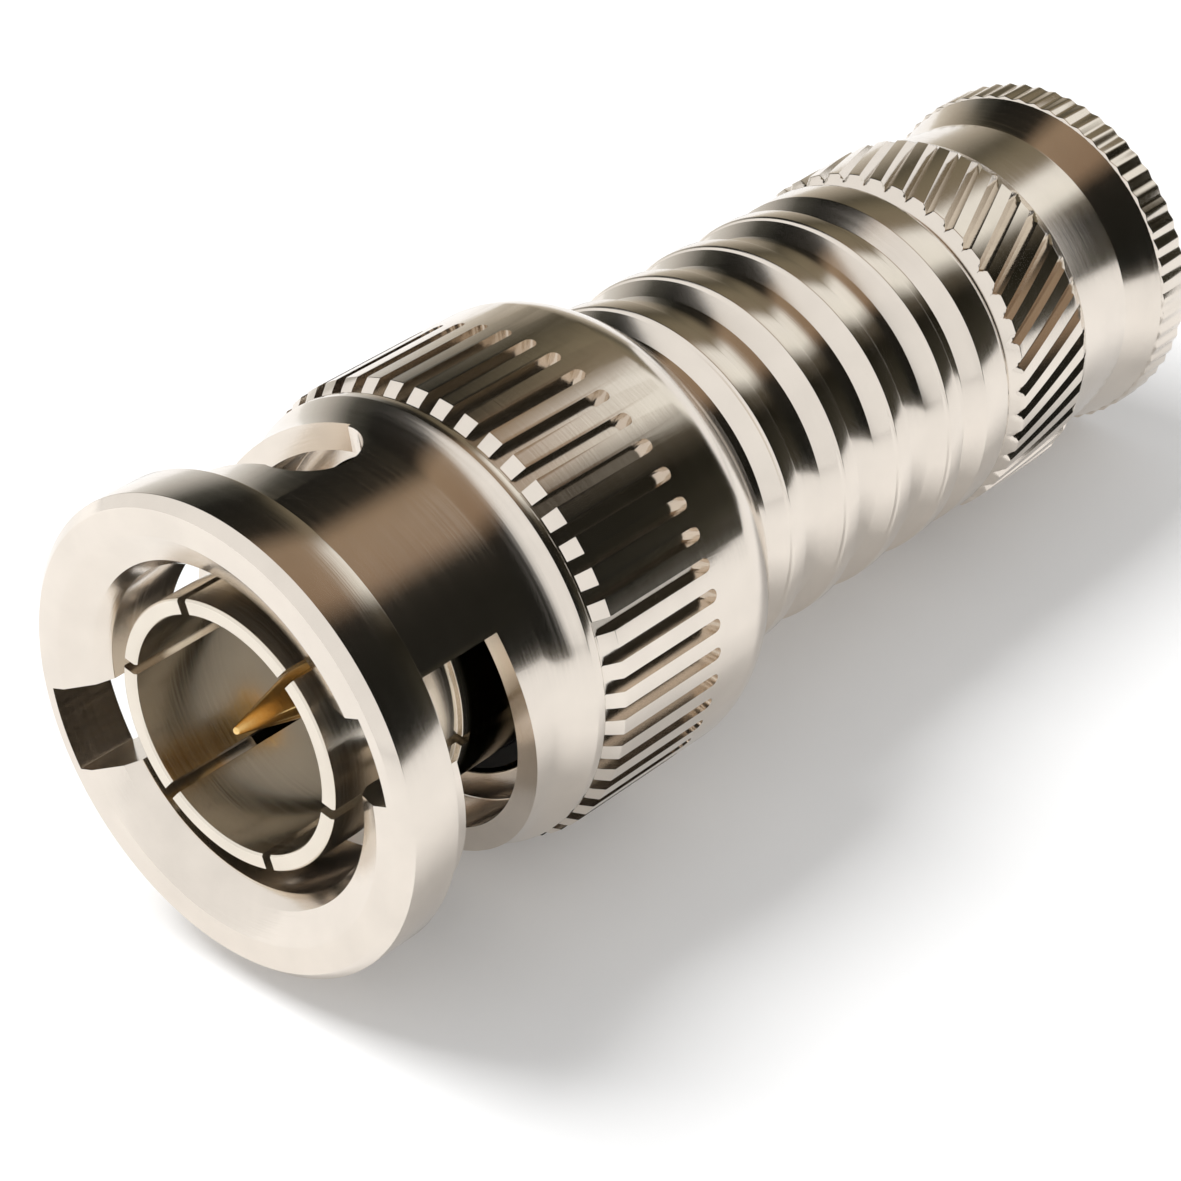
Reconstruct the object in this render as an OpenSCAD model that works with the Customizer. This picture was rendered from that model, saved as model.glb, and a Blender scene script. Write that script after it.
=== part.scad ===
// Coaxial bayonet plug with a hand-tightened cable clamp nut.
// It stands on its rear end, with the mating face up (+Z). Sizes are in millimetres.
// Pieces are drawn inside from_face(), where Z is the depth behind the mating face.

/* [Coupling nut] */
// Length of the nut, from its mating face to its rear lip
nut_l = 16.1; // [15:0.1:18]
// Radius of the bore that takes the mating socket
bore_r = 4.9; // [4.85:0.05:5.1]
// Radius of the front rim
rim_r = 7.2; // [6.9:0.05:7.6]
// Length of the front rim
rim_l = 1.95; // [1.5:0.05:2.2]
// Radius of the neck that holds the cam slots
neck_r = 6.5; // [6.3:0.05:6.8]
// Radius of the collar in front of the grip
collar_r = 6.87; // [6.82:0.01:7]
// Radius of the grooved grip
grip_r = 7.1; // [7.05:0.05:7.6]
// Depth at which the grip starts
grip_at = 8.3; // [7.8:0.1:9]
// Length of the grip, up to where the rear taper starts
grip_l = 5.8; // [5:0.1:6.5]
// Width of the rear lip
lip_w = 0.45; // [0.35:0.05:0.8]

/* [Grip grooves] */
// Number of grooves round the grip
groove_count = 48; // [24:2:56]
// Width of a groove
groove_w = 0.42; // [0.2:0.02:0.5]
// Depth of a groove
groove_t = 0.35; // [0.2:0.05:0.45]
// Length of a groove behind the front of the grip
groove_l = 4.1; // [3:0.1:4.8]

/* [Cam slots] */
// Width of an entry groove
entry_w = 2.5; // [2.3:0.1:2.8]
// Radius to the floor of an entry groove
entry_r = 6.6; // [6.55:0.05:6.7]
// Width of a cam slot
slot_w = 2.8; // [2.5:0.1:3]
// Depth of the slot's middle where it starts
slot_start_at = 3.95; // [3.7:0.05:4.2]
// Lead of the slot from its start to its end
slot_lead = 1.35; // [1:0.05:1.7]
// Angle that a slot turns through
slot_sweep = 111; // [90:1:115]
// Depth at which the bore's relief starts
relief_at = 4.4; // [4:0.1:5]
// Thickness of the neck's wall at the relief
relief_wall = 0.75; // [0.5:0.05:1]

/* [Nut retention] */
// Depth of the inner shoulder that the body's flange rests on
shoulder_at = 9.3; // [9:0.1:10]
// Width of the inner shoulder
shoulder_w = 0.55; // [0.5:0.05:0.6]
// Thickness of the retaining ring
ring_t = 0.5; // [0.4:0.05:0.7]
// Depth of the ring's groove in the counterbore
ring_seat = 0.45; // [0.3:0.05:0.6]
// Opening angle of the retaining ring
ring_gap_angle = 40; // [20:5:70]
// Thickness of the thrust washer
thrust_t = 0.3; // [0.2:0.05:0.5]
// Height of the wave washer as fitted
wave_h = 1.7; // [1.4:0.1:1.9]
// Thickness of the wave washer's strip
wave_t = 0.22; // [0.15:0.01:0.3]

/* [Front body] */
// Outer radius of the contact fingers
finger_r = 4.05; // [4:0.01:4.1]
// Thickness of a contact finger
finger_t = 0.5; // [0.4:0.05:0.55]
// Depth of the finger tips behind the mating face
finger_at = 0.5; // [0.3:0.1:1]
// Number of contact fingers
finger_count = 6; // [4:1:8]
// Width of the slits between the fingers
slit_w = 0.34; // [0.2:0.02:0.5]
// Length of the slits
slit_l = 5; // [4:0.1:5.5]
// How far the fingers' root stands out beyond them
root_w = 0.2; // [0.18:0.02:0.3]
// Thickness of the flange
flange_t = 1; // [0.8:0.1:1.3]
// Width of the washers' space between the stem and the counterbore
track_w = 1.15; // [1:0.05:1.2]

/* [Contact and insulators] */
// Radius of the centre pin
pin_r = 0.675; // [0.65:0.005:0.7]
// Depth of the pin's tip
pin_at = 0.8; // [0.5:0.1:1.5]
// Length of the pin's pointed tip
pin_tip_l = 2.4; // [1.5:0.1:3]
// Radius of the pin inside the insulator
pin_root_r = 0.9; // [0.86:0.02:1.1]
// Radius of the pin's shoulder
pin_shoulder_r = 1.7; // [1.5:0.1:2.1]
// Radius of the pin's solder cup
cup_r = 1.2; // [1:0.05:1.4]
// Radius of the hole in the solder cup
cup_bore_r = 0.6; // [0.4:0.05:0.7]
// Length of the hole in the solder cup
cup_bore_l = 3; // [2:0.1:4]
// Depth of the front insulator's face
insulator_at = 6.2; // [6:0.1:7]
// Length of the front insulator
insulator_l = 5; // [4:0.1:5.4]
// Thickness of the ledge between the insulators
ledge_t = 0.9; // [0.6:0.1:1.2]
// Length of the rear insulator
rear_insulator_l = 2.8; // [2:0.1:3.5]
// Length of the interface gasket
gasket_l = 1; // [0.8:0.1:1.4]

/* [Rear barrel] */
// Number of raised rings
ring_count = 4; // [2:1:4]
// Spacing of the raised rings
ring_pitch = 2.49; // [2:0.01:3]
// Height of the raised rings
ring_h = 0.47; // [0.3:0.01:0.7]
// Length of a raised ring's land
ring_land = 0.56; // [0.4:0.02:0.8]
// Length of the slope up to a raised ring's land
ring_slope = 0.94; // [0.6:0.02:1.2]
// Distance from the nut's lip to the rear edge of the first ring
lead_l = 2.1; // [1.8:0.1:3]
// Length of the barrel behind its last ring
tail_l = 2.6; // [2.2:0.1:4]
// Thickness of the wall round the chamber for the cable clamp
chamber_wall = 0.58; // [0.45:0.01:0.65]
// Length of the stem's seat in the barrel
seat_l = 4.2; // [3:0.1:5]
// Thickness of the web between the seat and the chamber
web_t = 1; // [0.8:0.1:1.4]

/* [Cable clamp] */
// Radius of the opening for the cable
cable_r = 3.25; // [3.1:0.05:3.4]
// Thickness of the braid clamp's flange
clamp_flange_t = 0.8; // [0.6:0.1:1.2]
// Length of the braid clamp's cone
cone_l = 2.2; // [1.5:0.1:2.6]
// Length of the rubber gland
gland_l = 3.5; // [3:0.1:4]
// Thickness of the slip washer
slip_t = 0.5; // [0.4:0.1:0.8]

/* [Clamp nut] */
// Length of the clamp nut's head
head_l = 9.2; // [8.5:0.1:12]
// Radius over the knurl
knurl_r = 5.72; // [5.6:0.02:6.2]
// Length of the knurl
knurl_l = 3.9; // [3:0.1:4.5]
// Number of knurled ridges
knurl_count = 43; // [30:1:48]
// Angle that the ridges turn through along the knurl
knurl_twist = 17; // [10:1:25]
// Radius of the waist behind the knurl
waist_r = 5.15; // [5:0.05:5.3]
// Radius of the rear rim
foot_r = 5.65; // [5.5:0.05:6.2]
// Length of the rear rim
foot_l = 1.3; // [1:0.1:2]
// Number of serrations round the rear rim
serration_count = 60; // [40:2:72]

/* [Hidden] */
$fn = 96;
seat_gap = 0.03;                  // radial gap of pieces that stay assembled
run_gap = 0.1;                    // radial gap of pieces that turn on each other
head_gap = 0.12;                  // gap left when the clamp nut is tight
ring_play = 0.4;                  // gap between the retaining ring and the barrel
floor_gap = 0.27;                 // radial gap between the nut's lip and the barrel
gasket_gap = 0.15;                // radial gap between the gasket and the nut's bore
cone_t = 1.2;                     // wall of the braid clamp's cone
tip_edge = 0.06;                  // size of the chamfers at the finger tips
edge = 0.3;                       // size of the small chamfers
past = 1;                         // how far a cutter runs past what it cuts

counterbore_r = bore_r + shoulder_w;
lip_r = counterbore_r + lip_w;
relief_r = neck_r - relief_wall;
relief_end = shoulder_at - 1;
stem_r = counterbore_r - track_w;
floor_r = counterbore_r - floor_gap;
ring_r = floor_r + ring_h;
chamber_r = floor_r - chamber_wall;
finger_inner_r = finger_r - finger_t;
root_r = finger_r + root_w;
root_at = finger_at + slit_l - edge;
web_r = cable_r - 0.65;
gland_r = cable_r + 0.25;
flange_at = shoulder_at;
wave_at = flange_at + flange_t;
thrust_at = wave_at + wave_h;
ring_at = thrust_at + thrust_t;
ring_inner_r = stem_r + 4 * run_gap;
barrel_at = ring_at + ring_t + ring_play;
stem_end = barrel_at + seat_l;
chamber_at = stem_end + web_t;
first_ring_at = nut_l + lead_l;
barrel_end = first_ring_at + (ring_count - 1) * ring_pitch + tail_l;
gland_at = chamber_at + clamp_flange_t;
slip_at = gland_at + gland_l;
spigot_at = slip_at + slip_t;
head_at = barrel_end + head_gap;
overall_l = head_at + head_l;
ledge_at = insulator_at + insulator_l;
rear_insulator_at = ledge_at + ledge_t;
core_r = knurl_r - 0.25;
collar_at = grip_at - 0.55;
fillet_l = 1.35;
slot_mid_at = slot_start_at + slot_lead / 2;
slot_tilt = atan(slot_lead / 2 / sin(slot_sweep / 2) / ((bore_r + neck_r) / 2));

// Places what is drawn by its depth behind the mating face.
module from_face() {
    translate([0, 0, overall_l]) mirror([0, 0, 1]) children();
}

// A turned ring between two depths.
module ring(inner_r, outer_r, at, length) {
    rotate_extrude() translate([inner_r, at]) square([outer_r - inner_r, length]);
}

// Points of an arc round a centre, from one angle to another.
function arc(centre, r, from, to, steps = 6) =
    [for (i = [0:steps]) let (a = from + (to - from) * i / steps) centre + r * [cos(a), sin(a)]];

// The nut's turned form before the slots and grooves are cut.
module nut_blank() {
    taper_at = grip_at + grip_l;
    rotate_extrude() polygon(concat(
        // countersunk mouth, then the rim
        [[bore_r + edge, 1.5 * edge], [bore_r + 4 * edge, 0], [rim_r - edge, 0], [rim_r, edge],
            [rim_r, rim_l], [neck_r, rim_l]],
        // hollow fillet that rises from the neck to the collar
        [for (i = [0:6]) let (t = i / 6)
            [neck_r + (collar_r - neck_r) * (1 - cos(90 * t)), collar_at - fillet_l * (1 - t)]],
        [[collar_r, grip_at - 0.25], [collar_r - 0.1, grip_at - 0.2], [collar_r - 0.1, grip_at - 0.1],
            [collar_r, grip_at], [grip_r, grip_at + edge], [grip_r, taper_at]],
        // rounded taper down to the rear lip
        [for (i = [1:6]) let (t = i / 6)
            [lip_r + (grip_r - lip_r) * cos(90 * t * 0.9) - 0.15 * t, taper_at + (nut_l - taper_at) * t]],
        [[counterbore_r, nut_l], [counterbore_r, ring_at + ring_t],
            [counterbore_r + ring_seat, ring_at + ring_t], [counterbore_r + ring_seat, ring_at],
            [counterbore_r, ring_at], [counterbore_r, shoulder_at], [bore_r, shoulder_at],
            [bore_r, 3 * edge]]));
}

// One cam slot: entry groove, sloping slot and its round end.
module cam_slot() {
    intersection() {
        cylinder(r = entry_r, h = slot_start_at);
        translate([0, -entry_w / 2, -past]) cube([grip_r, entry_w, slot_start_at + past]);
    }
    intersection() {
        translate([0, 0, slot_mid_at]) rotate([0, 0, 11 - slot_sweep / 2]) rotate([-slot_tilt, 0, 0])
            translate([-grip_r, -2 * grip_r, -slot_w / 2]) cube([3 * grip_r, 4 * grip_r, slot_w]);
        linear_extrude(shoulder_at) polygon(concat([[0, 0]],
            arc([0, 0], 2 * grip_r, 11, 11 - slot_sweep, 4)));
    }
    rotate([0, 0, 11 - slot_sweep]) translate([0, 0, slot_start_at + slot_lead])
        rotate([0, 90, 0]) cylinder(r = slot_w / 2, h = grip_r + past, $fn = 48);
}

// The grip's grooves, open at the front and round at the rear.
module grip_grooves() {
    for (i = [0:groove_count - 1]) rotate([0, 0, i * 360 / groove_count]) {
        translate([grip_r - groove_t, -groove_w / 2, grip_at - edge])
            cube([past, groove_w, groove_l + edge]);
        translate([grip_r - groove_t, 0, grip_at + groove_l])
            rotate([0, 90, 0]) cylinder(r = groove_w / 2, h = past, $fn = 16);
    }
}

module coupling_nut() {
    color("tan") from_face() difference() {
        nut_blank();
        ring(bore_r - past, relief_r, relief_at, relief_end - relief_at);
        for (turn = [0, 180]) rotate([0, 0, turn]) cam_slot();
        grip_grooves();
    }
}

module retaining_ring() {
    color("dimgray") from_face() difference() {
        ring(ring_inner_r, counterbore_r + ring_seat - seat_gap, ring_at, ring_t);
        linear_extrude(overall_l) polygon(concat([[0, 0]],
            arc([0, 0], 2 * grip_r, 90 - ring_gap_angle / 2, 90 + ring_gap_angle / 2, 4)));
    }
}

module thrust_washer() {
    color("silver") from_face() ring(stem_r + run_gap, counterbore_r - run_gap, thrust_at, thrust_t);
}

// A flat strip bent into three waves, swept round the stem.
module wave_washer() {
    steps = 72;
    inner_r = stem_r + 1.5 * run_gap;
    outer_r = counterbore_r - 1.5 * run_gap;
    rise = (wave_h - wave_t) / 2;
    function section(i) = let (a = i * 360 / steps, z = wave_at + rise * (1 + cos(3 * a)))
        [for (c = [[inner_r, z], [outer_r, z], [outer_r, z + wave_t], [inner_r, z + wave_t]])
            [c[0] * cos(a), c[0] * sin(a), c[1]]];
    points = [for (i = [0:steps - 1]) each section(i)];
    faces = [for (i = [0:steps - 1]) for (k = [0:3])
        let (j = (i + 1) % steps, n = (k + 1) % 4)
        each [[4 * i + k, 4 * j + k, 4 * j + n], [4 * i + k, 4 * j + n, 4 * i + n]]];
    color("dimgray") from_face() polyhedron(points, faces, convexity = 4);
}

module front_body() {
    color("wheat") from_face() difference() {
        rotate_extrude() polygon([
            [finger_inner_r + tip_edge, finger_at], [finger_r - tip_edge, finger_at],
            [finger_r, finger_at + tip_edge], [finger_r, root_at], [root_r, root_at],
            [root_r, flange_at],
            [counterbore_r - run_gap, flange_at], [counterbore_r - run_gap, flange_at + flange_t],
            [stem_r, flange_at + flange_t], [stem_r, stem_end], [finger_inner_r, stem_end],
            [finger_inner_r, rear_insulator_at], [pin_shoulder_r + 0.4, rear_insulator_at],
            [pin_shoulder_r + 0.4, ledge_at], [finger_inner_r, ledge_at],
            [finger_inner_r, finger_at + tip_edge]]);
        for (i = [0:finger_count - 1]) rotate([0, 0, (i + 0.5) * 360 / finger_count])
            translate([0, -slit_w / 2, 0]) cube([finger_r + past, slit_w, finger_at + slit_l]);
    }
}

module interface_gasket() {
    color("black") from_face()
        ring(root_r + seat_gap, bore_r - gasket_gap, flange_at - gasket_l, gasket_l);
}

module front_insulator() {
    color("white") from_face() rotate_extrude() polygon([
        [pin_root_r + seat_gap, insulator_at], [finger_inner_r - seat_gap - edge, insulator_at],
        [finger_inner_r - seat_gap, insulator_at + edge], [finger_inner_r - seat_gap, ledge_at],
        [pin_root_r + seat_gap, ledge_at]]);
}

module centre_pin() {
    shoulder_end = rear_insulator_at;
    cup_end = stem_end - 0.5;
    color("gold") from_face() rotate_extrude() polygon([
        [0, pin_at], [0.12, pin_at], [0.2, pin_at + 0.08], [pin_r, pin_at + pin_tip_l],
        [pin_r, insulator_at], [pin_root_r, insulator_at], [pin_root_r, ledge_at],
        [pin_shoulder_r, ledge_at], [pin_shoulder_r, shoulder_end],
        [cup_r, shoulder_end], [cup_r, cup_end], [cup_bore_r, cup_end],
        [cup_bore_r, cup_end - cup_bore_l], [0, cup_end - cup_bore_l]]);
}

module rear_insulator() {
    color("white") from_face()
        ring(cup_r + seat_gap, finger_inner_r - seat_gap, rear_insulator_at, rear_insulator_l);
}

// Outline of one raised ring, from the edge before it to its own rear edge.
function ring_outline(rear_edge, length) = [
    [floor_r, rear_edge - length], [floor_r, rear_edge - ring_land - ring_slope],
    [floor_r + 0.13 * ring_h, rear_edge - ring_land - 0.68 * ring_slope],
    [ring_r - 0.2 * ring_h, rear_edge - ring_land - 0.1 * ring_slope],
    [ring_r, rear_edge - ring_land], [ring_r, rear_edge]];

module rear_barrel() {
    last_ring_at = barrel_end - tail_l;
    tail_r = ring_r - 0.05;
    tail_at = barrel_end - tail_l / 2;
    color("tan") from_face() rotate_extrude() polygon(concat(
        [[stem_r + seat_gap, barrel_at], [floor_r - edge, barrel_at], [floor_r, barrel_at + edge]],
        ring_outline(first_ring_at, first_ring_at - barrel_at - 2 * edge),
        [for (i = [1:ring_count - 1]) each ring_outline(first_ring_at + i * ring_pitch, ring_pitch)],
        [[floor_r, last_ring_at], [floor_r, tail_at - 2 * edge], [tail_r, tail_at]],
        arc([tail_r - edge, barrel_end - edge], edge, 0, 90),
        [[chamber_r, barrel_end], [chamber_r, chamber_at], [web_r, chamber_at],
            [web_r, stem_end], [stem_r + seat_gap, stem_end]]));
}

module braid_clamp() {
    bore = cable_r - cone_t;
    color("gainsboro") from_face() rotate_extrude() polygon([
        [bore, chamber_at], [chamber_r - run_gap, chamber_at], [chamber_r - run_gap, gland_at],
        [cable_r + 0.7, gland_at], [bore + edge, gland_at + cone_l], [bore, gland_at + cone_l]]);
}

// The rubber gland, hollowed at its front where the braid clamp's cone enters.
module cable_gland() {
    color("black") from_face() rotate_extrude() polygon([
        [cable_r + 0.9, gland_at], [chamber_r - run_gap, gland_at],
        [chamber_r - run_gap, slip_at], [gland_r, slip_at], [gland_r, gland_at + cone_l / 2]]);
}

module slip_washer() {
    color("silver") from_face() ring(gland_r, chamber_r - run_gap, slip_at, slip_t);
}

// The clamp nut's knurl: slanting ridges that blend down at both ends.
module knurl() {
    // place of each point across a ridge's pitch, and how far below the crest it lies
    crest = [[0, 0.2], [0.3, 0], [0.5, 0], [0.8, 0.13]];
    count = knurl_count * len(crest);
    // place of each level along the knurl, and the largest radius there
    levels = concat([[0, knurl_r - 0.45], [0.35, knurl_r]],
        [for (i = [1:3]) [0.35 + (knurl_l - 0.85) * i / 3, knurl_r]],
        [[knurl_l, core_r + 0.03]]);
    function spot(level, i) = let (c = crest[i % len(crest)],
        a = (floor(i / len(crest)) + c[0]) * 360 / knurl_count + knurl_twist * level[0] / knurl_l,
        r = min(level[1], knurl_r - c[1])) [r * cos(a), r * sin(a), head_at + level[0]];
    points = [for (level = levels) for (i = [0:count - 1]) spot(level, i)];
    last = (len(levels) - 1) * count;
    sides = [for (k = [0:len(levels) - 2]) for (i = [0:count - 1])
        let (a = k * count + i, b = k * count + (i + 1) % count)
        each [[a, b, b + count], [a, b + count, a + count]]];
    ends = [[for (i = [count - 1:-1:0]) i], [for (i = [0:count - 1]) last + i]];
    polyhedron(points, [for (f = concat(sides, ends)) [for (i = [len(f) - 1:-1:0]) f[i]]], convexity = 6);
}

// The rear rim, with fine straight serrations.
module serrated_foot() {
    steps = 2 * serration_count;
    translate([0, 0, overall_l - foot_l]) linear_extrude(foot_l)
        polygon([for (i = [0:steps - 1])
            (foot_r - (i % 2) * 0.08) * [cos(i * 360 / steps), sin(i * 360 / steps)]]);
}

module clamp_nut() {
    foot_at = overall_l - foot_l;
    waist_at = head_at + knurl_l + 2.6;
    color("tan") from_face() difference() {
        union() {
            rotate_extrude() polygon([
                [0, spigot_at], [chamber_r - run_gap, spigot_at],
                [chamber_r - run_gap, head_at + edge], [core_r, head_at + edge],
                [core_r, head_at + knurl_l + 0.15], [waist_r, waist_at], [foot_r - 0.1, foot_at],
                [foot_r - 0.1, overall_l - foot_l / 2], [0, overall_l - foot_l / 2]]);
            knurl();
            serrated_foot();
        }
        translate([0, 0, spigot_at - past]) cylinder(r = cable_r, h = overall_l);
    }
}

coupling_nut();
retaining_ring();
thrust_washer();
wave_washer();
front_body();
interface_gasket();
front_insulator();
centre_pin();
rear_insulator();
rear_barrel();
braid_clamp();
cable_gland();
slip_washer();
clamp_nut();
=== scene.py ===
"""Looks of the coaxial bayonet plug: fine meshes, finishes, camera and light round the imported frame."""

import math

import bmesh
import bpy
from mathutils import Matrix, Vector


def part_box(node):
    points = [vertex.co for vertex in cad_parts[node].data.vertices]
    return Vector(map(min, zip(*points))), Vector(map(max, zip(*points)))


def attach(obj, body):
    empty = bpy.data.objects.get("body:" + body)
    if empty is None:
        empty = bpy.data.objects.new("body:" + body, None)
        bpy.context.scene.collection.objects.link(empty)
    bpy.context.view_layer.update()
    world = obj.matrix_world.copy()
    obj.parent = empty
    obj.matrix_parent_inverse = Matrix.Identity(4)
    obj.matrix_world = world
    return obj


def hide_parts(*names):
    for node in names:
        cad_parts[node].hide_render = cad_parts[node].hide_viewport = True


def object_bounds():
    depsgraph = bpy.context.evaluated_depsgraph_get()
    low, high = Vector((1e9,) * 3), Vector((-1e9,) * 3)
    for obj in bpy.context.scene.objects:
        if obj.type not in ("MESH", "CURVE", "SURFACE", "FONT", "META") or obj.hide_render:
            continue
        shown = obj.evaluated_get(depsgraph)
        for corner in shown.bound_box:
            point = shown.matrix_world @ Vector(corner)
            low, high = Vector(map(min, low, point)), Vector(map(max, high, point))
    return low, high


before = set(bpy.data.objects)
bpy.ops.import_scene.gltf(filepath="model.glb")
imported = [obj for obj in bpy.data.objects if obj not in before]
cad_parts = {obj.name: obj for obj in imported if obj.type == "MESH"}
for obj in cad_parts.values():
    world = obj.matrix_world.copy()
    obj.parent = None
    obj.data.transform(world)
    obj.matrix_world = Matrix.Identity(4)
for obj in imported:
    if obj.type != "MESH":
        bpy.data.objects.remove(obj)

CAD_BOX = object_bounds()
MM = 0.001
TOP = CAD_BOX[1].z                      # the mating face; depths are measured down from it

# The plug lies on a table: this is the way up from it, seen along the plug's own axis.
UP_ANGLE = math.radians(69)
TABLE_UP = Vector((math.cos(UP_ANGLE), math.sin(UP_ANGLE), 0))

# Sizes in millimetres, as in the frame. Depths run from the mating face towards the cable.
NUT_L = (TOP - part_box("coupling_nut")[0].z) / MM
BORE_R, RIM_R, RIM_L, NECK_R, COLLAR_R = 4.9, 7.2, 1.95, 6.5, 6.87
GRIP_R, GRIP_AT, GRIP_L, LIP_R = 7.1, 8.3, 5.8, 5.9
GROOVES, GROOVE_W, GROOVE_T, GROOVE_L = 48, 0.42, 0.35, 4.1
ENTRY_W, ENTRY_R, SLOT_W, SLOT_AT, SLOT_LEAD = 2.5, 6.6, 2.8, 3.95, 1.35
SLOT_FROM, SLOT_SWEEP = math.radians(11), math.radians(111)
RELIEF_R, RELIEF_AT, RELIEF_END = 5.75, 4.4, 8.3
COUNTERBORE_R, SHOULDER_AT = 5.45, 9.3
FINGERS, FINGER_R, FINGER_T, FINGER_AT, SLIT_W, SLIT_L = 6, 4.05, 0.5, 0.5, 0.34, 5.0
STEM_R, STEM_END = 4.3, (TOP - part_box("front_body")[0].z) / MM
LEDGE_R, LEDGE_AT, LEDGE_END = 2.1, 11.2, 12.1
PIN_R, PIN_AT, PIN_TIP_L, PIN_ROOT_R, PIN_ROOT_AT = 0.675, 0.8, 2.4, 0.9, 6.2
PIN_SHOULDER_R, CUP_R, CUP_BORE_R = 1.7, 1.2, 0.6
BARREL_AT = (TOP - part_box("rear_barrel")[1].z) / MM
BARREL_END = (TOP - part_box("rear_barrel")[0].z) / MM
RING_R, FLOOR_R, RING_PITCH, RINGS, TAIL_L = 5.65, 5.18, 2.49, 4, 2.6
CHAMBER_R, CHAMBER_AT, CABLE_R, WEB_R, WEB_AT = 4.6, 18.4, 3.25, 2.6, 17.4
SPIGOT_AT = (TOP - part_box("clamp_nut")[1].z) / MM
HEAD_AT, KNURL_R, KNURL_L, KNURLS = BARREL_END + 0.12, 5.72, 3.9, 43
KNURL_TWIST = math.radians(17)
WAIST_R, FOOT_R, FOOT_L, SERRATIONS = 5.15, 5.65, 1.3, 60
END = TOP / MM                          # depth of the rear face


def add_camera():
    """A close lens in front of the mating face, looking down on the lying plug."""
    data = bpy.data.cameras.new("camera")
    data.sensor_width = 36
    data.lens = 113.7
    data.clip_start, data.clip_end = 0.01, 10
    camera = bpy.data.objects.new("camera", data)
    bpy.context.scene.collection.objects.link(camera)
    place = Vector((77.864, 32.377, 91.226)) * MM
    aim = Vector((-0.761, -2.301, 22.556)) * MM
    back = (place - aim).normalized()
    right = TABLE_UP.cross(back).normalized()
    turn = Matrix((right, back.cross(right), back)).transposed()
    camera.matrix_world = Matrix.Translation(place) @ turn.to_4x4()
    bpy.context.scene.camera = camera


# ---------------------------------------------------------------- meshes

def arc(centre, radius, start, stop, steps=6):
    """Points round a centre (radius, depth), from one angle in degrees to another."""
    angles = [math.radians(start + (stop - start) * i / steps) for i in range(steps + 1)]
    return [(centre[0] + radius * math.cos(a), centre[1] + radius * math.sin(a)) for a in angles]


def soften(outline, radius, steps=3):
    """Rounds each real corner of a closed outline with a small arc."""
    points = [Vector(p) for p in outline]
    result = []
    for i, here in enumerate(points):
        before, after = points[i - 1], points[(i + 1) % len(points)]
        a, b = before - here, after - here
        turn = math.pi - a.angle(b) if a.length and b.length else 0
        if turn < math.radians(18) or here.x < 1e-6:
            result.append(here)
            continue
        reach = min(radius * math.tan(turn / 2), a.length * 0.45, b.length * 0.45)
        start, stop = here + a.normalized() * reach, here + b.normalized() * reach
        for k in range(steps + 1):
            t = k / steps
            result.append(start * (1 - t) ** 2 + here * 2 * t * (1 - t) + stop * t * t)
    return [(p.x, p.y) for p in result]


def spread(outline, step):
    """Adds points along long stretches, so that a shape function has something to move."""
    result = []
    for i, here in enumerate(outline):
        after = outline[(i + 1) % len(outline)]
        length = math.dist(here, after)
        count = max(1, math.ceil(length / step(here, after)))
        result += [(here[0] + (after[0] - here[0]) * k / count,
                    here[1] + (after[1] - here[1]) * k / count) for k in range(count)]
    return result


def turned(name, outline, segments=240, shape=None):
    """A closed outline of (radius, depth) points in millimetres, swept round the axis."""
    mesh = bpy.data.meshes.new(name)
    b = bmesh.new()
    rows = []
    for radius, depth in outline:
        if radius < 1e-6:
            rows.append([b.verts.new((0, 0, TOP - depth * MM))])
            continue
        row = []
        for i in range(segments):
            angle, r = 2 * math.pi * i / segments, radius
            if shape:
                angle, r = shape(angle, radius, depth)
            place = (r * MM * math.cos(angle), r * MM * math.sin(angle), TOP - depth * MM)
            row.append(b.verts.new(place))
        rows.append(row)
    for i, row in enumerate(rows):
        other = rows[(i + 1) % len(rows)]
        if len(row) == 1 and len(other) == 1:
            continue
        for k in range(segments):
            n = (k + 1) % segments
            corners = [row[k % len(row)], row[n % len(row)], other[n % len(other)], other[k % len(other)]]
            b.faces.new(list(dict.fromkeys(corners)))
    bmesh.ops.recalc_face_normals(b, faces=b.faces)
    b.to_mesh(mesh)
    b.free()
    piece = bpy.data.objects.new(name, mesh)
    bpy.context.scene.collection.objects.link(piece)
    return piece


def hull_of(b, points):
    """Adds the convex solid round the points to a bmesh."""
    verts = [b.verts.new(p) for p in points]
    bmesh.ops.convex_hull(b, input=verts, use_existing_faces=False)


def around(angle, radius, depth, across=0.0):
    """A point by its angle, radius and depth, with an offset across the radius, in millimetres."""
    c, s = math.cos(angle), math.sin(angle)
    flat = Vector((radius * c - across * s, radius * s + across * c, 0)) * MM
    return flat + Vector((0, 0, TOP - depth * MM))


def new_object(name, b):
    bmesh.ops.recalc_face_normals(b, faces=b.faces)
    mesh = bpy.data.meshes.new(name)
    b.to_mesh(mesh)
    b.free()
    piece = bpy.data.objects.new(name, mesh)
    bpy.context.scene.collection.objects.link(piece)
    return piece


def prism(b, ring_at, stations):
    """A closed tube of quads through rings of points; ring_at gives one ring for each station."""
    rings = [[b.verts.new(p) for p in ring_at(s)] for s in stations]
    count = len(rings[0])
    for first, second in zip(rings, rings[1:]):
        for k in range(count):
            n = (k + 1) % count
            b.faces.new((first[k], first[n], second[n], second[k]))
    b.faces.new(rings[0])
    b.faces.new(list(reversed(rings[-1])))


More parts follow.
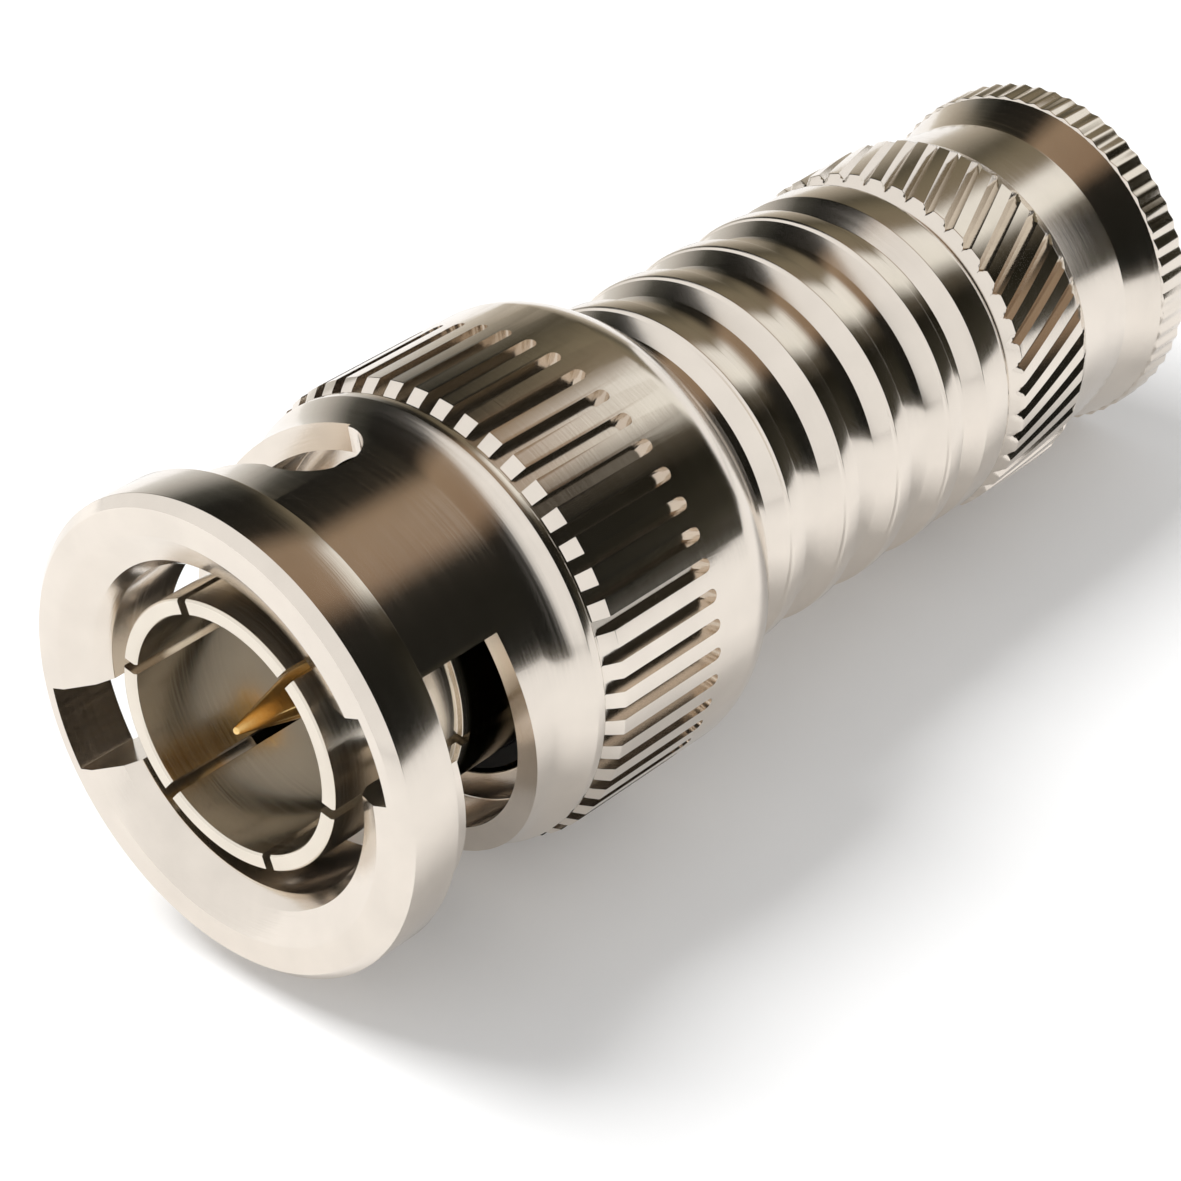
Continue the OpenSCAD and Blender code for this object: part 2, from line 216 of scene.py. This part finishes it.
def cut(piece, *cutters):
    """Takes the cutters out of the piece, for good."""
    for cutter in cutters:
        modifier = piece.modifiers.new("cut", "BOOLEAN")
        modifier.operation = "DIFFERENCE"
        modifier.solver = "EXACT"
        modifier.object = cutter
    bpy.context.view_layer.update()
    evaluated = piece.evaluated_get(bpy.context.evaluated_depsgraph_get())
    mesh = bpy.data.meshes.new_from_object(evaluated)
    piece.modifiers.clear()
    piece.data = mesh
    for cutter in cutters:
        bpy.data.objects.remove(cutter)


def slot_cutter(name, turn):
    """One cam slot: entry groove, sloping slot and its round end."""
    middle = SLOT_AT + SLOT_LEAD / 2
    slope = SLOT_LEAD / 2 / math.sin(SLOT_SWEEP / 2) / ((BORE_R + NECK_R) / 2)
    centre = SLOT_FROM - SLOT_SWEEP / 2
    b = bmesh.new()

    def slot_ring(angle):
        for radius, side in ((3.9, -1), (8.5, -1), (8.5, 1), (3.9, 1)):
            depth = middle + slope * radius * math.sin(centre - angle) + side * SLOT_W / 2
            yield around(angle + turn, radius, depth)

    steps = 40
    prism(b, slot_ring, [SLOT_FROM - SLOT_SWEEP * i / steps for i in range(steps + 1)])
    sloping = new_object(name + "_slope", b)

    b = bmesh.new()
    end = SLOT_FROM - SLOT_SWEEP + turn

    def end_ring(radius):
        for i in range(40):
            a = 2 * math.pi * i / 40
            yield around(end, radius, SLOT_AT + SLOT_LEAD + SLOT_W / 2 * math.cos(a),
                         SLOT_W / 2 * math.sin(a))

    prism(b, end_ring, [4.2, 8.5])
    round_end = new_object(name + "_end", b)

    b = bmesh.new()

    def entry_ring(depth):
        half = math.asin(ENTRY_W / 2 / ENTRY_R)
        yield around(turn, 4.2, depth, -ENTRY_W / 2)
        for i in range(9):
            yield around(turn - half + 2 * half * i / 8, ENTRY_R, depth)
        yield around(turn, 4.2, depth, ENTRY_W / 2)

    prism(b, entry_ring, [-1, SLOT_AT])
    entry = new_object(name + "_entry", b)
    return [sloping, round_end, entry]


def groove_cutters():
    """All the grip's grooves as one mesh: open at the front, round at the rear."""
    b = bmesh.new()
    rear, half = GRIP_AT + GROOVE_L, GROOVE_W / 2
    for i in range(GROOVES):
        angle = 2 * math.pi * i / GROOVES

        def ring(radius):
            yield around(angle, radius, GRIP_AT - 0.2, -half)
            for k in range(9):
                a = math.pi * k / 8
                yield around(angle, radius, rear + half * math.sin(a), -half * math.cos(a))
            yield around(angle, radius, GRIP_AT - 0.2, half)

        prism(b, ring, [GRIP_R - GROOVE_T, GRIP_R + 0.5])
    return new_object("groove_cutters", b)


def slit_cutters():
    b = bmesh.new()
    for i in range(FINGERS):
        angle = 2 * math.pi * (i + 0.5) / FINGERS
        hull_of(b, [around(angle, r, d, a * SLIT_W / 2) for r in (3, 5)
                    for d in (-1, FINGER_AT + SLIT_L) for a in (-1, 1)])
    return new_object("slit_cutters", b)


def nut_outline():
    taper_at = GRIP_AT + GRIP_L
    fillet_at, fillet_l = GRIP_AT - 0.55, 1.35
    rise = [(NECK_R + (COLLAR_R - NECK_R) * (1 - math.cos(math.pi / 2 * i / 10)),
             fillet_at - fillet_l * (1 - i / 10)) for i in range(11)]
    taper = [(LIP_R + (GRIP_R - LIP_R) * math.cos(math.radians(81) * i / 12) - 0.15 * i / 12,
              taper_at + (NUT_L - taper_at) * i / 12) for i in range(1, 13)]
    return ([(BORE_R + 0.3, 0.45), (BORE_R + 1.2, 0), (RIM_R - 0.3, 0), (RIM_R, 0.3),
             (RIM_R, RIM_L), (NECK_R, RIM_L)] + rise
            + [(COLLAR_R, GRIP_AT - 0.25), (COLLAR_R - 0.1, GRIP_AT - 0.2), (COLLAR_R - 0.1, GRIP_AT - 0.1),
               (COLLAR_R, GRIP_AT), (GRIP_R, GRIP_AT + 0.3), (GRIP_R, taper_at)] + taper
            + [(COUNTERBORE_R, NUT_L), (COUNTERBORE_R, SHOULDER_AT), (BORE_R, SHOULDER_AT),
               (BORE_R, RELIEF_END), (RELIEF_R, RELIEF_END),
               (RELIEF_R, RELIEF_AT), (BORE_R, RELIEF_AT), (BORE_R, 0.9)])


def make_coupling_nut():
    nut = turned("coupling_nut_shell", soften(nut_outline(), 0.06), 288)
    cut(nut, *slot_cutter("slot_a", 0), *slot_cutter("slot_b", math.pi), groove_cutters())
    return nut


def make_front_body():
    inner = FINGER_R - FINGER_T
    flange = COUNTERBORE_R - 0.1
    root_at = FINGER_AT + SLIT_L - 0.3
    outline = [(inner + 0.06, FINGER_AT), (FINGER_R - 0.06, FINGER_AT), (FINGER_R, FINGER_AT + 0.06),
               (FINGER_R, root_at), (FINGER_R + 0.2, root_at), (FINGER_R + 0.2, SHOULDER_AT),
               (flange, SHOULDER_AT), (flange, SHOULDER_AT + 1),
               (STEM_R, SHOULDER_AT + 1), (STEM_R, STEM_END), (inner, STEM_END),
               (inner, LEDGE_END), (LEDGE_R, LEDGE_END), (LEDGE_R, LEDGE_AT), (inner, LEDGE_AT),
               (inner, FINGER_AT + 0.06)]
    body = turned("front_body_shell", soften(outline, 0.04), 240)
    cut(body, slit_cutters())
    return body


def make_centre_pin():
    tip = [(0, PIN_AT)] + arc((0, PIN_AT + 0.13), 0.13, -70, -20, 4) + [(PIN_R, PIN_AT + PIN_TIP_L)]
    outline = tip + [(PIN_R, PIN_ROOT_AT), (PIN_ROOT_R, PIN_ROOT_AT), (PIN_ROOT_R, LEDGE_AT),
                     (PIN_SHOULDER_R, LEDGE_AT), (PIN_SHOULDER_R, LEDGE_END), (CUP_R, LEDGE_END),
                     (CUP_R, STEM_END - 0.5), (CUP_BORE_R, STEM_END - 0.5),
                     (CUP_BORE_R, STEM_END - 3.5), (0, STEM_END - 3.5)]
    return turned("centre_pin_shell", soften(outline, 0.05), 96)


def ring_outline(rear, length):
    return [(FLOOR_R, rear - length), (FLOOR_R, rear - 1.5), (FLOOR_R + 0.06, rear - 1.2),
            (RING_R - 0.1, rear - 0.66), (RING_R - 0.04, rear - 0.62),
            (RING_R, rear - 0.56), (RING_R, rear)]


def make_rear_barrel():
    last = BARREL_END - TAIL_L
    first = last - (RINGS - 1) * RING_PITCH
    tail_r = RING_R - 0.05
    outline = [(STEM_R + 0.03, BARREL_AT), (FLOOR_R - 0.3, BARREL_AT), (FLOOR_R, BARREL_AT + 0.3)]
    outline += ring_outline(first, first - BARREL_AT - 0.6)
    for i in range(1, RINGS):
        outline += ring_outline(first + i * RING_PITCH, RING_PITCH)
    outline += [(FLOOR_R, last), (FLOOR_R, last + 0.7), (tail_r, last + 1.3)]
    outline += arc((tail_r - 0.3, BARREL_END - 0.3), 0.3, 0, 90)
    outline += [(CHAMBER_R, BARREL_END), (CHAMBER_R, CHAMBER_AT), (WEB_R, CHAMBER_AT), (WEB_R, WEB_AT),
                (STEM_R + 0.03, WEB_AT)]
    return turned("rear_barrel_shell", soften(outline, 0.04), 288)


def make_clamp_nut():
    core_r = KNURL_R - 0.25
    foot_at = END - FOOT_L
    outline = [(CABLE_R, SPIGOT_AT), (CHAMBER_R - 0.1, SPIGOT_AT), (CHAMBER_R - 0.1, HEAD_AT),
               (KNURL_R - 0.45, HEAD_AT), (KNURL_R, HEAD_AT + 0.35), (KNURL_R, HEAD_AT + KNURL_L - 0.5),
               (core_r, HEAD_AT + KNURL_L), (WAIST_R, HEAD_AT + KNURL_L + 2.6),
               (FOOT_R - 0.1, foot_at), (FOOT_R, foot_at + 0.05), (FOOT_R, END - 0.1),
               (FOOT_R - 0.1, END), (CABLE_R + 0.2, END), (CABLE_R, END - 0.2)]

    def shape(angle, radius, depth):
        along = min(max(depth - HEAD_AT, 0), KNURL_L)
        if HEAD_AT - 0.01 < depth < HEAD_AT + KNURL_L and radius > 5:
            phase = (angle * KNURLS / (2 * math.pi)) % 1
            valley = 0.2 * max(0, 1 - min(phase, 1 - phase) / 0.25)
            radius = min(radius, KNURL_R - valley)
        if depth > foot_at and radius > 5.5:
            radius -= 0.08 * abs((angle * SERRATIONS / (2 * math.pi)) % 1 - 0.5) * 2
        return angle + KNURL_TWIST * along / KNURL_L, radius

    def step(here, after):
        in_knurl = HEAD_AT - 0.01 <= min(here[1], after[1]) and max(here[1], after[1]) <= HEAD_AT + KNURL_L
        return 0.15 if in_knurl and min(here[0], after[0]) > 5 else 2.0

    return turned("clamp_nut_shell", spread(soften(outline, 0.05), step), KNURLS * 12, shape)


# ---------------------------------------------------------------- materials

class Nodes:
    """Short way to build a node tree: each call adds a node and links its inputs."""

    def __init__(self, tree):
        self.tree = tree
        tree.nodes.clear()

    def add(self, kind, inputs=None, **settings):
        node = self.tree.nodes.new(kind)
        for key, value in settings.items():
            setattr(node, key, value)
        for key, value in (inputs or {}).items():
            socket = node.inputs[key]
            if isinstance(value, bpy.types.NodeSocket):
                self.tree.links.new(value, socket)
            else:
                socket.default_value = value
        return node

    def math(self, operation, *values):
        return self.add("ShaderNodeMath", dict(enumerate(values)), operation=operation).outputs[0]

    def ramp(self, value, stops, interpolation="LINEAR"):
        node = self.add("ShaderNodeValToRGB", {"Fac": value})
        node.color_ramp.interpolation = interpolation
        elements = node.color_ramp.elements
        while len(elements) < len(stops):
            elements.new(0.5)
        for element, (at, colour) in zip(elements, stops):
            element.position = at
            element.color = (*colour, 1) if len(colour) == 3 else colour
        return node.outputs["Color"]


def new_material(name):
    material = bpy.data.materials.new(name)
    material.use_nodes = True
    return material, Nodes(material.node_tree)


def turned_metal(name, colour, roughness, turning=0.5, pitch=0.05, painted_shade_depth=None):
    """Plated metal with fine turning marks round the plug's axis; given a depth, it also paints shade as a
    dark olive tint from that depth inwards.
    """
    material, n = new_material(name)
    point = n.add("ShaderNodeTexCoord").outputs["Object"]
    x, y, z = n.add("ShaderNodeSeparateXYZ", {0: point}).outputs
    radius = n.math("SQRT", n.math("ADD", n.math("MULTIPLY", x, x), n.math("MULTIPLY", y, y)))
    # marks run round the axis, so they change fast along it and slowly round it
    along = n.add("ShaderNodeCombineXYZ", {
        0: n.math("MULTIPLY", x, 120.0), 1: n.math("MULTIPLY", y, 120.0),
        2: n.math("MULTIPLY", n.math("ADD", z, n.math("MULTIPLY", radius, 1.7)), 1 / (pitch * MM))})
    marks = n.add("ShaderNodeTexNoise", {"Vector": along.outputs[0], "Scale": 1.0, "Detail": 3.0,
                                         "Roughness": 0.6}).outputs["Fac"]
    grime = n.add("ShaderNodeTexNoise", {"Vector": point, "Scale": 700.0, "Detail": 4.0}).outputs["Fac"]
    specks = n.add("ShaderNodeTexNoise", {"Vector": point, "Scale": 3200.0, "Detail": 2.0}).outputs["Fac"]
    tint = n.ramp(grime, [(0.3, tuple(c * 0.93 for c in colour)), (0.7, colour)])
    if painted_shade_depth:      # painted shade from this depth inwards: a dark olive tint stands in for the shade deep in the recess
        painted_shade_mask = n.add("ShaderNodeMapRange", {"Value": z, "From Min": TOP - (painted_shade_depth - 0.1) * MM,
                                            "From Max": TOP - (painted_shade_depth + 0.1) * MM})
        tint = n.add("ShaderNodeMix", {0: painted_shade_mask.outputs[0], 6: tint, 7: (0.05, 0.035, 0.008, 1)},
                     data_type="RGBA").outputs[2]
    rough = n.add("ShaderNodeMapRange", {"Value": marks, "From Min": 0.3, "From Max": 0.7,
                                         "To Min": roughness * 0.8, "To Max": roughness * 1.25})
    height = n.math("ADD", n.math("MULTIPLY", marks, turning), n.math("MULTIPLY", specks, 0.12))
    bump = n.add("ShaderNodeBump", {"Strength": 0.25, "Distance": 0.004 * MM, "Height": height})
    shader = n.add("ShaderNodeBsdfPrincipled", {
        "Base Color": tint, "Metallic": 1.0, "Roughness": rough.outputs[0], "Normal": bump.outputs[0]})
    n.add("ShaderNodeOutputMaterial", {"Surface": shader.outputs[0]})
    return material


def plastic(name, colour, roughness):
    """Moulded or turned polymer with a faint mottle."""
    material, n = new_material(name)
    point = n.add("ShaderNodeTexCoord").outputs["Object"]
    mottle = n.add("ShaderNodeTexNoise", {"Vector": point, "Scale": 1500.0, "Detail": 4.0}).outputs["Fac"]
    tint = n.ramp(mottle, [(0.3, tuple(c * 0.85 for c in colour)), (0.7, colour)])
    bump = n.add("ShaderNodeBump", {"Strength": 0.2, "Distance": 0.01 * MM, "Height": mottle})
    shader = n.add("ShaderNodeBsdfPrincipled", {"Base Color": tint, "Roughness": roughness,
                                                "Normal": bump.outputs[0]})
    n.add("ShaderNodeOutputMaterial", {"Surface": shader.outputs[0]})
    return material


def finish_mesh(piece, material):
    """Smooth shading with crisp corners, in one finish."""
    mesh = piece.data
    mesh.materials.clear()
    mesh.materials.append(material)
    mesh.shade_smooth()
    mesh.set_sharp_from_angle(angle=math.radians(32))
    weighted = piece.modifiers.new("normals", "WEIGHTED_NORMAL")
    weighted.keep_sharp = True
    weighted.weight = 80


def dress(node, material):
    """Gives a CAD node its finish."""
    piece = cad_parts[node]
    piece.data.materials.clear()
    piece.data.materials.append(material)
    for polygon in piece.data.polygons:
        polygon.material_index = 0


def stand_in(piece, node, body, material):
    """The fine mesh stands for a CAD node and moves with its body."""
    finish_mesh(piece, material)
    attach(piece, body)
    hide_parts(node)


# ---------------------------------------------------------------- stage

def add_table():
    """A white table under the lying plug. From behind it is clear, so it hides nothing."""
    rest_z = END - GRIP_AT - GRIP_L
    slope = math.atan2(GRIP_R - FOOT_R, rest_z)
    normal = (TABLE_UP * math.cos(slope) + Vector((0, 0, math.sin(slope)))).normalized()
    along = (Vector((0, 0, 1)) - normal * normal.z).normalized()
    side = along.cross(normal)
    centre = -TABLE_UP * GRIP_R * MM + Vector((0, 0, rest_z * MM)) - normal * 0.02 * MM
    size = 1.2
    mesh = bpy.data.meshes.new("table")
    corners = [centre + (side * a + along * b) * size for a, b in ((-1, -1), (1, -1), (1, 1), (-1, 1))]
    mesh.from_pydata(corners, [], [(0, 1, 2, 3)])
    if mesh.polygons[0].normal.dot(normal) < 0:
        mesh.flip_normals()
    table = bpy.data.objects.new("table", mesh)
    bpy.context.scene.collection.objects.link(table)
    material, n = new_material("white_table")
    path = n.add("ShaderNodeLightPath").outputs
    seen = n.math("MAXIMUM", path["Is Camera Ray"], path["Is Glossy Ray"])
    diffuse = n.add("ShaderNodeBsdfDiffuse", {"Color": (0.9, 0.9, 0.9, 1)})
    lift = n.add("ShaderNodeEmission", {"Color": (1, 1, 1, 1), "Strength": n.math("MULTIPLY", seen, 0.12)})
    white = n.add("ShaderNodeAddShader", {0: diffuse.outputs[0], 1: lift.outputs[0]})
    clear = n.add("ShaderNodeBsdfTransparent")
    back = n.add("ShaderNodeNewGeometry").outputs["Backfacing"]
    mix = n.add("ShaderNodeMixShader", {0: back, 1: white.outputs[0], 2: clear.outputs[0]})
    n.add("ShaderNodeOutputMaterial", {"Surface": mix.outputs[0]})
    mesh.materials.append(material)


def add_lamp(name, direction, distance, size, power):
    data = bpy.data.lights.new(name, "AREA")
    data.shape = "RECTANGLE"
    data.size, data.size_y = size
    data.energy = power
    lamp = bpy.data.objects.new(name, data)
    lamp.location = Vector((0, 0, 0.02)) + direction.normalized() * distance
    lamp.rotation_euler = direction.to_track_quat("Z", "Y").to_euler()
    bpy.context.scene.collection.objects.link(lamp)
    return lamp


def add_world(level):
    world = bpy.data.worlds.new("world")
    bpy.context.scene.world = world
    world.use_nodes = True
    n = Nodes(world.node_tree)
    path = n.add("ShaderNodeLightPath").outputs
    seen = n.math("MAXIMUM", path["Is Camera Ray"],
                  n.math("MAXIMUM", path["Is Glossy Ray"], path["Is Transmission Ray"]))
    strength = n.math("ADD", level, n.math("MULTIPLY", seen, 1.0 - level))
    back = n.add("ShaderNodeBackground", {"Color": (1, 1, 1, 1), "Strength": strength})
    n.add("ShaderNodeOutputWorld", {"Surface": back.outputs[0]})
    # sampled directly, the white world would reach the metal through the hood
    world.cycles.sampling_method = "NONE"


def add_hood():
    """A studio hood over the plug, which only its metal reflects: dark cloth with a window in it."""
    radius, count = 0.1, 64
    b = bmesh.new()
    rows = [[b.verts.new((radius * math.cos(a), radius * math.sin(a), z)) for z in (0.03, -0.2)]
            for a in (UP_ANGLE + math.radians(-93 + 186 * i / count) for i in range(count + 1))]
    for one, two in zip(rows, rows[1:]):
        b.faces.new((one[0], two[0], two[1], one[1]))
    hood = new_object("hood", b)
    material, n = new_material("hood_cloth")
    point = n.add("ShaderNodeTexCoord").outputs["Object"]
    x, y, z = n.add("ShaderNodeSeparateXYZ", {0: point}).outputs
    angle = n.math("DEGREES", n.math("ARCTAN2", y, x))
    # the ramps run from 100 degrees on one side of the way up to 100 degrees on the other
    along = n.math("DIVIDE", n.math("SUBTRACT", 169.0, angle), 200.0)

    def stops(*rows):
        """Ramp stops from rows of (degrees from the way up, colour)."""
        return [((at + 100) / 200, colour) for at, colour in rows]

    near = n.ramp(along, stops(
        (-94, (0.9, 0.9, 0.88)), (-78, (0.6, 0.59, 0.56)), (-60, (0.07, 0.07, 0.06)),
        (-46, (0.012, 0.012, 0.01)), (-20, (0.02, 0.018, 0.014)), (-8, (0.34, 0.25, 0.17)),
        (20, (0.3, 0.21, 0.14)), (32, (0.016, 0.015, 0.012)),
        (84, (0.01, 0.01, 0.008)), (94, (0.12, 0.11, 0.09))))
    far = n.ramp(along, stops(
        (-94, (0.8, 0.75, 0.66)), (-72, (0.42, 0.38, 0.31)), (-50, (0.09, 0.08, 0.055)),
        (-30, (0.22, 0.19, 0.13)),
        (-12, (0.24, 0.2, 0.14)), (-2, (1, 1, 0.97)), (20, (1, 1, 0.95)), (32, (0.1, 0.085, 0.06)),
        (46, (0.01, 0.009, 0.005)), (94, (0.06, 0.055, 0.04))))
    back = n.add("ShaderNodeMapRange", {"Value": z, "From Min": -0.046, "From Max": -0.054})
    mix = n.add("ShaderNodeMix", {0: back.outputs[0], 6: near, 7: far}, data_type="RGBA")
    glow = n.add("ShaderNodeEmission", {"Color": mix.outputs[2], "Strength": 1.0})
    n.add("ShaderNodeOutputMaterial", {"Surface": glow.outputs[0]})
    hood.data.materials.append(material)
    for ray in ("camera", "diffuse", "transmission", "volume_scatter", "shadow"):
        setattr(hood, "visible_" + ray, False)


bpy.context.scene.view_settings.view_transform = "Standard"
add_camera()
add_table()
add_hood()
add_world(0.55)
lamp_side = Vector((-TABLE_UP.y, TABLE_UP.x, 0))
lamp = add_lamp("key", TABLE_UP + lamp_side * 0.55 + Vector((0, 0, 0.35)), 0.5, (0.22, 0.22), 1.75)
lamp.visible_glossy = False

nickel = turned_metal("nickel_plate", (0.8, 0.73, 0.65), 0.15, 0.8)
# painted shade: this finish turns dark olive beyond 5.45 mm deep, where the recess inside the coupling nut
# lies in shade
nickel_with_painted_shade = turned_metal("nickel_with_painted_shade", (0.8, 0.73, 0.63), 0.2, painted_shade_depth=5.45)
steel = turned_metal("spring_steel", (0.5, 0.5, 0.5), 0.3)
gold = turned_metal("gold_plate", (0.95, 0.66, 0.28), 0.18)
white_polymer = plastic("white_polymer", (0.85, 0.84, 0.8), 0.4)
black_rubber = plastic("black_rubber", (0.02, 0.02, 0.02), 0.6)

stand_in(make_coupling_nut(), "coupling_nut", "coupling_nut", nickel)
stand_in(make_rear_barrel(), "rear_barrel", "plug", nickel)
stand_in(make_clamp_nut(), "clamp_nut", "clamp_nut", nickel)
stand_in(make_front_body(), "front_body", "plug", nickel_with_painted_shade)
stand_in(make_centre_pin(), "centre_pin", "plug", gold)
for name in ("retaining_ring", "wave_washer"):
    dress(name, steel)
for name in ("thrust_washer", "slip_washer", "braid_clamp"):
    dress(name, nickel_with_painted_shade)
for name in ("front_insulator", "rear_insulator"):
    dress(name, white_polymer)
for name in ("interface_gasket", "cable_gland"):
    dress(name, black_rubber)
